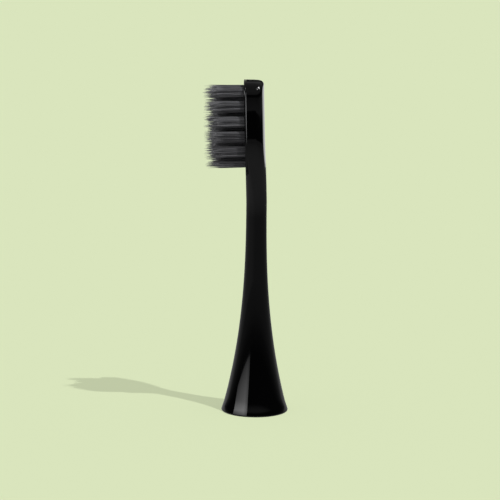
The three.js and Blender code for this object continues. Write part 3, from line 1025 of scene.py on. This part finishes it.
@dataclass
class TuftField:
    """All tufts of the head, each grown as separate filaments."""

    form: HeadForm
    finish: FilamentNylon
    filament_radius: float = 0.085
    spacing: float = 0.19
    sides: int = 5
    root_depth: float = 1.0
    tip_flare: float = 1.14
    longest: float = 1.05
    shortest: float = 0.66
    length_spread: float = 0.7
    lean_scatter: float = 0.056
    stray_share: float = 0.03
    stray_scatter: float = 0.24
    bend_length: float = 2.5
    seed: int = 7
    row_prefixes: tuple[str, ...] = ("outer_row", "inner_row")
    # Shares of the length at which a filament has a ring of points, and its thickness there
    stations: tuple[tuple[float, float], ...] = (
        (0.0, 1.0), (0.13, 1.0), (0.2, 1.0), (0.3, 1.0), (0.72, 0.96), (0.88, 0.62), (1.0, 0.16))
    bows: tuple[float, ...] = (0.0, 0.02862, 0.05724)

    def tufts(self) -> list[Tuft]:
        """Takes the tufts' places and sizes from the frame.

        Returns:
            The tufts.
        """
        found = []
        for joint in frame["joints"]:
            row = joint["child"]
            if not row.startswith(self.row_prefixes):
                continue
            for node in frame["record"]["behaviour"]["bodies"][row]:
                low, high = (Vector(corner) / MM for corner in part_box(node))
                root = Vector(joint["pos_m"]) / MM
                flare = (1 + self.tip_flare) / 2
                found.append(Tuft(
                    node=node,
                    body=row,
                    y=(low.y + high.y) / 2,
                    z=root.z,
                    height=2 * (high.z - root.z),
                    width=(high.y - low.y) / flare,
                    length=(root.x - low.x) / math.cos(self.form.lean),
                ))
        log.info("%d tufts", len(found))
        return found

    def filament(self, bow: float) -> bpy.types.Mesh:
        """Returns one filament of unit length along Z and unit radius.

        Args:
            bow: How far its middle stands off the straight line, in millimetres.

        Returns:
            The mesh, closed at both ends.
        """
        bm = bmesh.new()
        loops = []
        for share, thickness in self.stations:
            swing = bow * math.sin(math.pi * share) / self.filament_radius
            loops.append([(thickness * math.cos(angle) + swing, thickness * math.sin(angle), share)
                          for angle in spread(0, FULL_TURN, self.sides)[:-1]])
        loft(bm, loops)
        bmesh.ops.recalc_face_normals(bm, faces=bm.faces[:])
        mesh = bpy.data.meshes.new("filament")
        bm.to_mesh(mesh)
        bm.free()
        return mesh

    def seats(self, tuft: Tuft) -> list[tuple[float, float]]:
        """Packs a tuft with filaments.

        Args:
            tuft: Its place and size.

        Returns:
            The filaments' places, as offsets along Y and up the face.
        """
        half_y = tuft.width / 2 - self.filament_radius
        half_z = tuft.height / 2 - self.filament_radius
        row_step = self.spacing * HEXAGON_ROW
        rows = int(half_z / row_step)
        columns = int(half_y / self.spacing) + 1
        places = []
        for row in range(-rows, rows + 1):
            for column in range(-columns, columns + 1):
                y = (column + (row % 2) / 2) * self.spacing
                z = row * row_step
                past_y = max(0.0, abs(y) - (half_y - tuft.corner))
                past_z = max(0.0, abs(z) - (half_z - tuft.corner))
                if math.hypot(past_y, past_z) <= tuft.corner:
                    places.append((y, z))
        return places

    def grow(self, tuft: Tuft, kinds: Sequence[bpy.types.Mesh], chance: random.Random) -> bpy.types.Object:
        """Grows one tuft.

        Args:
            tuft: Its place and size.
            kinds: The filament meshes to choose from.
            chance: The seeded source of variation.

        Returns:
            The tuft's object, in millimetres.
        """
        bm = bmesh.new()
        out = -self.form.inward(1.0)
        up = Vector((-math.sin(self.form.lean), 0, math.cos(self.form.lean)))
        across = Vector((0, 1, 0))
        centre = Vector(self.form.on_face(0.0, tuft.y, tuft.z))
        flare_y = (self.tip_flare - 1) / 2
        flare_z = self.tip_flare - 1
        shades = []
        for y, z in self.seats(tuft):
            root = centre + across * y + up * z - out * self.root_depth
            scatter = self.stray_scatter if chance.random() < self.stray_share else self.lean_scatter
            length = tuft.length * lerp(self.longest, self.shortest, chance.random() ** self.length_spread)
            aside = across * (y * flare_y + chance.gauss(0, scatter))
            axis = out * (length + self.root_depth) + aside + up * (z * flare_z + chance.gauss(0, scatter))
            turn = Matrix.Rotation(chance.uniform(0, FULL_TURN), 3, axis)
            first = (turn @ across) * self.filament_radius
            second = axis.normalized().cross(first)
            matrix = Matrix((first, second, axis)).transposed().to_4x4()
            matrix.translation = root
            strand = chance.choice(kinds).copy()
            strand.transform(matrix)
            bm.from_mesh(strand)
            bpy.data.meshes.remove(strand)
            shades.append(chance.random())
        made = mesh_object(f"bristles_{tuft.node}", bm)
        self.tint(made.data, shades)
        return made

    def tint(self, mesh: bpy.types.Mesh, shades: Sequence[float]) -> None:
        """Stores each filament's shade and each point's share of the length.

        Args:
            mesh: The tuft's mesh, filament after filament.
            shades: One value for each filament.
        """
        per_filament = len(self.stations) * self.sides
        shade = mesh.attributes.new("shade", "FLOAT", "POINT")
        reach = mesh.attributes.new("reach", "FLOAT", "POINT")
        shade.data.foreach_set("value", [value for value in shades for _ in range(per_filament)])
        along = [share for share, _ in self.stations for _ in range(self.sides)]
        reach.data.foreach_set("value", along * len(shades))

    def build(self) -> list[Tuft]:
        """Grows and dresses every tuft.

        Returns:
            The tufts.
        """
        chance = random.Random(self.seed)
        kinds = [self.filament(bow) for bow in self.bows]
        material = self.finish.material()
        tufts = self.tufts()
        for tuft in tufts:
            made = self.grow(tuft, kinds, chance)
            made.data.transform(into_frame())
            made.data.shade_smooth()
            made.data.materials.append(material)
            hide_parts(tuft.node)
            start = into_frame() @ Vector(self.form.on_face(0.0, tuft.y, tuft.z))
            end = into_frame() @ Vector(self.form.on_face(-self.bend_length, tuft.y, tuft.z))
            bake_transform(made)
            log.info("%s: %d faces", made.name, len(made.data.polygons))
        return tufts


@dataclass
class TuftPlate:
    """The flanged plate that closes the front of the paddle."""

    form: HeadForm
    finish: MouldedPlastic
    highlight_finish: MouldedPlastic
    edge_radius: float = 0.2
    seam_radius: float = 0.09
    bevel_segments: int = 4
    flange_corner: float = 0.2
    overhang: float = 0.5
    # Size and course of the pale beads that paint a highlight line along the upper seam
    highlight_radius: float = 0.13
    highlight_span: tuple[float, float] = (17.0, 1.9)
    highlight_taper: float = 0.2
    highlight_swell: float = 0.7
    highlight_steps: int = 24
    highlight_sides: int = 9

    def slab(self, name: str, inset: float, depths: tuple[float, float], end_radius: float,
             rims: tuple[float, ...] = ()) -> bpy.types.Object:
        """Returns a slab with the paddle's outline.

        Args:
            name: The object's name.
            inset: How far its outline is drawn in.
            depths: Where it starts and ends below the front.
            end_radius: Radius of its lower corners.
            rims: Radii of the front and the back rim, where they are rounded.

        Returns:
            The slab.
        """
        start, end = depths
        outline = self.form.face_outline(inset, start, end_radius)
        bm = bmesh.new()
        front = add_prism(bm, outline, self.form.inward(end - start))
        back = [face for face in bm.faces if len(face.verts) == len(outline) and face not in front]
        for ends, radius in zip((front, back), rims):
            rim = list({edge for face in ends for edge in face.edges})
            bmesh.ops.bevel(bm, geom=rim, offset=radius, segments=self.bevel_segments, profile=0.5,
                            affect="EDGES", material=-1)
        return mesh_object(name, bm)

    def hole_cutter(self, tufts: Sequence[Tuft]) -> bpy.types.Object:
        """Makes one object with a plug for each tuft's hole.

        Args:
            tufts: The tufts.

        Returns:
            The plugs.
        """
        bm = bmesh.new()
        through = self.form.inward(self.form.flange + self.form.boss + 2 * self.overhang)
        for tuft in tufts:
            add_prism(bm, tuft.outline(self.form, -self.overhang), through)
        return mesh_object("hole_cutter", bm)

    def highlight_bead(self, name: str, side: int) -> bpy.types.Object:
        """Returns the thin pale bead along the seam near the top, a painted highlight line.

        Args:
            name: The object's name.
            side: 1 for +Y, -1 for -Y.

        Returns:
            The bead, tapering at both ends.
        """
        form = self.form
        low, high = (form.height - drop for drop in self.highlight_span)
        loops = []
        for share in spread(0, 1, self.highlight_steps):
            z = lerp(low, high, share)
            swell = math.sin(math.pi * share**2) ** self.highlight_swell
            radius = self.highlight_radius * lerp(self.highlight_taper, 1.0, swell)
            y = side * form.half_width(z, self.highlight_radius / 2)
            x = form.on_face(form.flange - form.gap, y, z)[0]
            loops.append([(x + radius * math.cos(angle), y + radius * math.sin(angle), z)
                          for angle in spread(0, FULL_TURN, self.highlight_sides)[:-1]])
        bm = bmesh.new()
        loft(bm, loops)
        return mesh_object(name, bm)

    def build(self, tufts: Sequence[Tuft]) -> None:
        """Builds and dresses the plate's flange, the boss behind it and the pale beads that paint a highlight line
        along its upper seam.

        Args:
            tufts: The tufts that stand in its holes.
        """
        form = self.form
        material = self.finish.material()
        rims = (self.edge_radius, self.seam_radius)
        flange = self.slab("plate_flange", 0.0, (0.0, form.flange), self.flange_corner, rims)
        carve(flange, [self.hole_cutter(tufts)])
        dress(flange, material, Body.HEAD, ["tuft_plate"])
        depths = (form.flange, form.flange + form.boss)
        boss = self.slab("plate_boss", form.boss_inset, depths, form.boss_end_radius)
        carve(boss, [self.hole_cutter(tufts)])
        dress(boss, material, Body.HEAD, ["tuft_plate"])
        # The pale beads on both sides: a painted highlight line along the upper seam
        highlight_material = self.highlight_finish.material()
        for name, side in (("highlight_bead_left", 1), ("highlight_bead_right", -1)):
            dress(self.highlight_bead(name, side), highlight_material, Body.HEAD, ["tuft_plate"])


# ---- Socket ----


@dataclass
class ShaftSocket:
    """The hub, its retaining ring and the two springs that grip the drive shaft."""

    hub_finish: MouldedPlastic
    ring_finish: MouldedPlastic
    spring_finish: RolledSteel
    bore_radius: float = 2.05
    flat_distance: float = 1.6
    bore_depth: float = 15.4
    overhang: float = 1.0
    wall: float = 0.8
    nose_radius: float = 3.6
    flange_thickness: float = 1.0
    flange_z: float = 6.2
    edge: float = 0.15
    ring_gap: float = 0.05
    steps: int = 72
    slot_width: float = 1.9
    slot_margin: float = 0.15
    spring_width: float = 1.6
    spring_thickness: float = 0.25
    spring_standoff: float = 0.375
    spring_foot: float = 0.45
    spring_bend: float = 0.12
    bend_cut: float = 0.25
    spring_lead: float = 0.04
    spring_end: float = 0.1
    spring_sharp_degrees: float = 50
    dimple_rise: float = 0.4
    dimple_depth: float = 0.4
    dimple_length: float = 1.6
    dimple_steps: int = 12

    def hub_profile(self) -> list[tuple[float, float]]:
        """Draws the hub's outer profile, from the axis at the mouth to the axis at its end.

        Returns:
            Radius and height of each point.
        """
        low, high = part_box("shaft_hub")
        mouth, top = low[2] / MM, high[2] / MM
        flange_radius = (high[1] - low[1]) / 2 / MM
        outer = self.bore_radius + self.wall
        flange_top = self.flange_z + self.flange_thickness
        # Radius, height and the side on which the corner is cut: 1 above it, -1 below it, 0 not at all
        corners = ((self.nose_radius, mouth, 1), (self.nose_radius, self.flange_z, 0),
                   (flange_radius, self.flange_z, 1), (flange_radius, flange_top, -1),
                   (outer, flange_top, 0), (outer, top, -1))
        profile = [(0.0, mouth)]
        for radius, z, lift in corners:
            if lift == 0:
                profile.append((radius, z))
                continue
            pair = [(radius - self.edge, z), (radius, z + lift * self.edge)]
            profile.extend(pair if lift > 0 else pair[::-1])
        profile.append((0.0, top))
        return profile

    def bore_cutter(self) -> bpy.types.Object:
        """Makes the solid that cuts the D-shaped bore.

        Returns:
            The solid.
        """
        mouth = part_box("shaft_hub")[0][2] / MM
        flat = math.acos(self.flat_distance / self.bore_radius)
        low = mouth - self.overhang
        outline = [(self.bore_radius * math.cos(turn), self.bore_radius * math.sin(turn), low)
                   for turn in spread(flat, FULL_TURN - flat, self.steps // 2)]
        return prism("bore_cutter", outline, Vector((0, 0, self.bore_depth + self.overhang)))

    def slot_cutter(self) -> bpy.types.Object:
        """Makes the box that cuts both spring slots.

        Returns:
            The box.
        """
        low, high = (Vector(corner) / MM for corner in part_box("leaf_spring_left"))
        half_x = self.slot_width / 2
        half_y = 2 * self.nose_radius
        z = low.z - self.slot_margin
        corners = ((-half_x, -half_y), (half_x, -half_y), (half_x, half_y), (-half_x, half_y))
        outline = [(x, y, z) for x, y in corners]
        return prism("slot_cutter", outline, Vector((0, 0, high.z + self.slot_margin - z)))

    def build_hub(self) -> None:
        """Builds and dresses the hub."""
        bm = bmesh.new()
        lathe(bm, self.hub_profile(), closed=False, steps=self.steps)
        hub = mesh_object("acetal_hub", bm)
        carve(hub, [self.bore_cutter(), self.slot_cutter()])
        dress(hub, self.hub_finish.material(), Body.HEAD, ["shaft_hub"])

    def build_ring(self) -> None:
        """Builds and dresses the retaining ring, with its edges cut."""
        low, high = (Vector(corner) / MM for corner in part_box("retaining_ring"))
        outer = (high.y - low.y) / 2
        inner = self.nose_radius + self.ring_gap
        edge = self.edge
        profile = [(inner + edge, low.z), (outer - edge, low.z), (outer, low.z + edge),
                   (outer, high.z - edge), (outer - edge, high.z), (inner + edge, high.z),
                   (inner, high.z - edge), (inner, low.z + edge)]
        bm = bmesh.new()
        lathe(bm, profile, closed=True, steps=self.steps)
        ring = mesh_object("hub_retaining_ring", bm)
        dress(ring, self.ring_finish.material(), Body.HEAD, ["retaining_ring"])

    def spring_path(self) -> list[tuple[float, float]]:
        """Draws the spring's side view, from its foot to its free end.

        Returns:
            Distance from the axis and height of each point.
        """
        low, high = (Vector(corner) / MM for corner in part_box("leaf_spring_left"))
        middle = self.bore_radius + self.spring_standoff
        top = high.z - self.spring_thickness / 2
        bend = self.spring_bend
        cut = bend * self.bend_cut
        path = [(middle + self.spring_foot, top), (middle + bend, top), (middle + cut, top - cut),
                (middle, top - bend)]
        dimple_top = low.z + self.dimple_rise + self.dimple_length
        path.append((middle, (top + dimple_top) / 2))
        for share in spread(0, 1, self.dimple_steps):
            bulge = self.dimple_depth * (1 - math.cos(FULL_TURN * share)) / 2
            path.append((middle - bulge, dimple_top - self.dimple_length * share))
        path.append((middle + self.spring_lead, low.z + self.spring_end))
        return path

    def build_spring(self, node: str, body: Body, side: int, material: bpy.types.Material) -> None:
        """Builds and dresses one leaf spring.

        Args:
            node: The CAD node it stands for.
            body: The body it rides on.
            side: 1 for +Y, -1 for -Y.
            material: Its finish.
        """
        bm = bmesh.new()
        half = self.spring_width / 2
        verts = [bm.verts.new((-half, side * y, z)) for y, z in self.spring_path()]
        edges = [bm.edges.new(pair) for pair in zip(verts, verts[1:])]
        grown = bmesh.ops.extrude_edge_only(bm, edges=edges)["geom"]
        moved = [part for part in grown if isinstance(part, bmesh.types.BMVert)]
        bmesh.ops.translate(bm, verts=moved, vec=(self.spring_width, 0, 0))
        bmesh.ops.translate(bm, verts=bm.verts[:], vec=(0, -side * self.spring_thickness / 2, 0))
        bmesh.ops.recalc_face_normals(bm, faces=bm.faces[:])
        bmesh.ops.solidify(bm, geom=bm.faces[:], thickness=self.spring_thickness)
        spring = mesh_object(f"{node}_strip", bm)
        dress(spring, material, body, [node], self.spring_sharp_degrees)

    def build(self) -> None:
        """Builds every piece of the socket."""
        self.build_hub()
        self.build_ring()
        steel = self.spring_finish.material()
        self.build_spring("leaf_spring_left", Body.SPRING_LEFT, 1, steel)
        self.build_spring("leaf_spring_right", Body.SPRING_RIGHT, -1, steel)


# ---- Studio ----


@dataclass(frozen=True)
class GlossRoom:
    """What gloss mirrors around the head: a grey floor, a dark front, a pale backdrop and a soft ceiling.

    The bands give the sine of an elevation and the glow there, from the floor's far edge to the ceiling.
    """

    bands: tuple[tuple[float, float], ...] = (
        (-0.081, 0.012), (-0.073, 0.13), (-0.005, 0.1), (0.045, 0.045), (0.1, 0.014), (0.28, 0.014),
        (0.36, 0.13), (0.7, 0.17))
    backdrop_glow: float = 0.8
    backdrop_turn: tuple[float, float] = (0.72, 0.86)
    backdrop_top: tuple[float, float] = (-0.01, -0.04)
    floor_front: float = 0.13
    floor_left: float = 0.19
    floor_left_turn: tuple[float, float] = (-0.2, -0.75)
    floor_near: float = 0.13
    floor_near_reach: tuple[float, float] = (0.3, 0.08)
    floor_radius: float = 0.5

    def directions(self, wiring: Wiring, socket: bpy.types.NodeSocket) -> bpy.types.NodeSocketCollection:
        """Splits a direction at unit length.

        Args:
            wiring: The nodes.
            socket: The direction.

        Returns:
            Its X, Y and Z.
        """
        unit = wiring.add("VectorMath", operation="NORMALIZE")
        wiring.join(socket, unit.inputs[0])
        split = wiring.add("SeparateXYZ")
        wiring.join(unit.outputs[0], split.inputs[0])
        return split.outputs

    def sky(self, wiring: Wiring) -> bpy.types.NodeSocket:
        """Wires the world's glow in gloss, by direction.

        Args:
            wiring: The world's nodes.

        Returns:
            The glow's strength.
        """
        toward = self.directions(wiring, wiring.add("TexCoord").outputs["Generated"])
        total: bpy.types.NodeSocket | float = self.bands[0][1]
        for (low, below), (high, above) in zip(self.bands, self.bands[1:]):
            total = wiring.math("ADD", total, wiring.ramp(toward["Z"], low, high, 0.0, above - below))
        behind = wiring.ramp(toward["Y"], *self.backdrop_turn, 0.0, self.backdrop_glow)
        backdrop = wiring.math("MULTIPLY", behind, wiring.ramp(toward["Z"], *self.backdrop_top))
        return wiring.math("ADD", total, backdrop)

    def build_floor(self) -> None:
        """Lays the grey floor that only gloss sees, just under the pale one."""
        card, wiring = make_card("mirrored_floor")
        place = wiring.add("TexCoord").outputs["Object"]
        toward = self.directions(wiring, place)
        left = wiring.ramp(toward["X"], *self.floor_left_turn, self.floor_front, self.floor_left)
        far = wiring.add("VectorMath", operation="LENGTH")
        wiring.join(place, far.inputs[0])
        near = wiring.ramp(far.outputs["Value"], *self.floor_near_reach, 0.0, self.floor_near)
        bm = bmesh.new()
        bmesh.ops.create_circle(bm, segments=FLOOR_SIDES, radius=self.floor_radius, cap_ends=True)
        bmesh.ops.translate(bm, verts=bm.verts[:], vec=(0, 0, -MM))
        light_card(card, bm, wiring, wiring.math("ADD", left, near))


@dataclass(frozen=True)
class Softbox:
    """A glowing panel that only shows in gloss, with azimuths and elevations in degrees.

    Its glow goes from the first value at the bottom to the second at the top. It is weakened to the
    faded share where X, as a share of the distance, is at the first value of fade or past it.
    """

    name: str
    azimuths: tuple[float, float]
    elevations: tuple[float, float]
    glow: tuple[float, float]
    fade: tuple[float, float] = (0.0, 1.0)
    faded: float = 1.0
    distance: float = 2.0
    columns: int = 12
    rows: int = 6

    def build(self) -> None:
        """Hangs the panel as a patch of a sphere around the head."""
        card, wiring = make_card(self.name)
        bm = bmesh.new()
        bmesh.ops.create_grid(bm, x_segments=self.columns, y_segments=self.rows, size=0.5)
        for vert in bm.verts:
            azimuth = lerp(*self.azimuths, vert.co.x + 0.5)
            vert.co = direction(azimuth, lerp(*self.elevations, vert.co.y + 0.5)) * self.distance
        place = wiring.add("SeparateXYZ")
        wiring.join(wiring.add("TexCoord").outputs["Object"], place.inputs[0])
        ends = (direction(0, elevation).z * self.distance for elevation in self.elevations)
        rise = wiring.ramp(place.outputs["Z"], *ends, *self.glow)
        sides = (reach * self.distance for reach in self.fade)
        faded = wiring.ramp(place.outputs["X"], *sides, self.faded, 1.0)
        light_card(card, bm, wiring, wiring.math("MULTIPLY", rise, faded))


def direction(azimuth: float, elevation: float) -> Vector:
    """Returns the direction at an azimuth from -Y towards +X and an elevation, both in degrees."""
    turn, lift = math.radians(azimuth), math.radians(elevation)
    return Vector((math.sin(turn) * math.cos(lift), -math.cos(turn) * math.cos(lift), math.sin(lift)))


def make_card(name: str) -> tuple[bpy.types.Object, Wiring]:
    """Makes an empty object that only gloss will see.

    Args:
        name: The object's name.

    Returns:
        The object and the wiring of its material.
    """
    card = bpy.data.objects.new(name, bpy.data.meshes.new(name))
    bpy.context.scene.collection.objects.link(card)
    material = bpy.data.materials.new(name)
    material.use_nodes = True
    card.data.materials.append(material)
    card.visible_camera = False
    card.visible_diffuse = False
    card.visible_shadow = False
    card.visible_transmission = False
    return card, Wiring(material.node_tree)


def light_card(card: bpy.types.Object, bm: bmesh.types.BMesh, wiring: Wiring,
               strength: bpy.types.NodeSocket) -> None:
    """Gives a card its shape and its glow.

    Args:
        card: The card.
        bm: Its shape, in metres, which is freed.
        wiring: The nodes of its material.
        strength: How strongly it glows.
    """
    bm.to_mesh(card.data)
    bm.free()
    glow = wiring.add("Emission")
    wiring.join(strength, glow.inputs["Strength"])
    wiring.join(glow.outputs[0], wiring.tree.nodes["Material Output"].inputs["Surface"])


@dataclass
class Studio:
    """The pale floor, the soft light and the camera."""

    floor_color: Color = (0.701, 0.783, 0.509)
    ambient: float = 0.35
    key_share: float = 0.65
    shadow_depth: float = 0.25
    key_from: tuple[float, float] = (53.0, 60.0)
    key_angle: float = math.radians(0.7)
    floor_radius: float = 4.0
    camera_offset: Point = (-1.46, -500.0, 124.58)
    camera_pitch: float = math.radians(9.68)
    camera_roll: float = math.radians(0.55)
    lens: float = 152.24
    room: GlossRoom = field(default_factory=GlossRoom)
    softboxes: tuple[Softbox, ...] = (
        Softbox(name="left_softbox", azimuths=(-80.0, -27.5), elevations=(6.0, 40.0), glow=(0.5, 8.0),
                fade=(-0.46, -0.62), faded=0.55),
        Softbox(name="right_glint", azimuths=(86.0, 92.0), elevations=(45.0, 60.0), glow=(45.0, 45.0)),
    )

    def build_world(self) -> None:
        """Lights the head evenly and gives its gloss a room to mirror."""
        world = bpy.data.worlds.new("soft_room")
        bpy.context.scene.world = world
        world.use_nodes = True
        wiring = Wiring(world.node_tree)
        wiring.tree.nodes.clear()
        soft = wiring.add("Background", Color=(1, 1, 1, 1), Strength=self.ambient)
        room = wiring.add("Background", Color=(1, 1, 1, 1))
        wiring.join(self.room.sky(wiring), room.inputs["Strength"])
        mix = wiring.add("MixShader")
        wiring.join(wiring.add("LightPath").outputs["Is Glossy Ray"], mix.inputs[0])
        wiring.join(soft.outputs[0], mix.inputs[1])
        wiring.join(room.outputs[0], mix.inputs[2])
        output = wiring.add("OutputWorld")
        wiring.join(mix.outputs[0], output.inputs["Surface"])

    def build_floor(self) -> None:
        """Lays the pale floor, flush with the bell's rim."""
        bm = bmesh.new()
        bmesh.ops.create_circle(bm, segments=FLOOR_SIDES, radius=self.floor_radius, cap_ends=True)
        floor = mesh_object("floor", bm)
        material = bpy.data.materials.new("pale_paper")
        material.use_nodes = True
        wiring = Wiring(material.node_tree)
        lit = self.shadow_depth / self.key_share
        paper = wiring.add("BsdfDiffuse", Color=(*(channel * lit for channel in self.floor_color), 1))
        glow = wiring.add("Emission", Color=(*self.floor_color, 1), Strength=1 - lit)
        both = wiring.add("AddShader")
        wiring.join(paper.outputs[0], both.inputs[0])
        wiring.join(glow.outputs[0], both.inputs[1])
        wiring.join(both.outputs[0], material.node_tree.nodes["Material Output"].inputs["Surface"])
        floor.data.materials.append(material)
        floor.visible_glossy = False
        floor.visible_diffuse = False

    def build_key(self) -> None:
        """Hangs the key light, whose share of the floor's light is set."""
        azimuth, elevation = self.key_from
        lamp = bpy.data.lights.new("key", "SUN")
        lamp.energy = self.key_share * math.pi / math.sin(math.radians(elevation))
        lamp.angle = self.key_angle
        key = bpy.data.objects.new("key", lamp)
        key.rotation_euler = direction(azimuth, elevation).to_track_quat("Z", "Y").to_euler()
        bpy.context.scene.collection.objects.link(key)

    def build_camera(self) -> None:
        """Sets the camera at the height and distance of a product shot."""
        data = bpy.data.cameras.new("camera")
        data.lens = self.lens
        camera = bpy.data.objects.new("camera", data)
        place = into_frame() @ Vector(self.camera_offset)
        tilt = Matrix.Rotation(QUARTER_TURN - self.camera_pitch, 4, "X")
        roll = Matrix.Rotation(self.camera_roll, 4, "Z")
        camera.matrix_world = Matrix.Translation(place) @ tilt @ roll
        bpy.context.scene.collection.objects.link(camera)
        bpy.context.scene.camera = camera

    def build(self) -> None:
        """Builds the whole studio."""
        bpy.context.scene.view_settings.view_transform = "Standard"
        self.build_world()
        self.build_floor()
        self.room.build_floor()
        self.build_key()
        self.build_camera()
        for softbox in self.softboxes:
            softbox.build()


# ---- Everything together ----


def dress_filament_base(material: bpy.types.Material) -> None:
    """Gives the fused filament ends, which stay as the frame has them, their finish.

    Args:
        material: Their finish.
    """
    base = frame["nodes"]["filament_base"]
    base.data.materials.clear()
    base.data.materials.append(material)


def main() -> None:
    """Builds the studio and every piece of the head."""
    logging.basicConfig(level=logging.INFO, format="%(name)s: %(message)s")
    form = HeadForm.from_frame()
    Studio().build()
    Moulding(form, GLOSS_BLACK).build()
    tufts = TuftField(form, FilamentNylon()).build()
    TuftPlate(form, SATIN_BLACK, PAINTED_RIM_HIGHLIGHT).build(tufts)
    dress_filament_base(FUSED_NYLON.material())
    ShaftSocket(ACETAL, SATIN_BLACK, RolledSteel()).build()


if __name__ == "__main__":
    main()
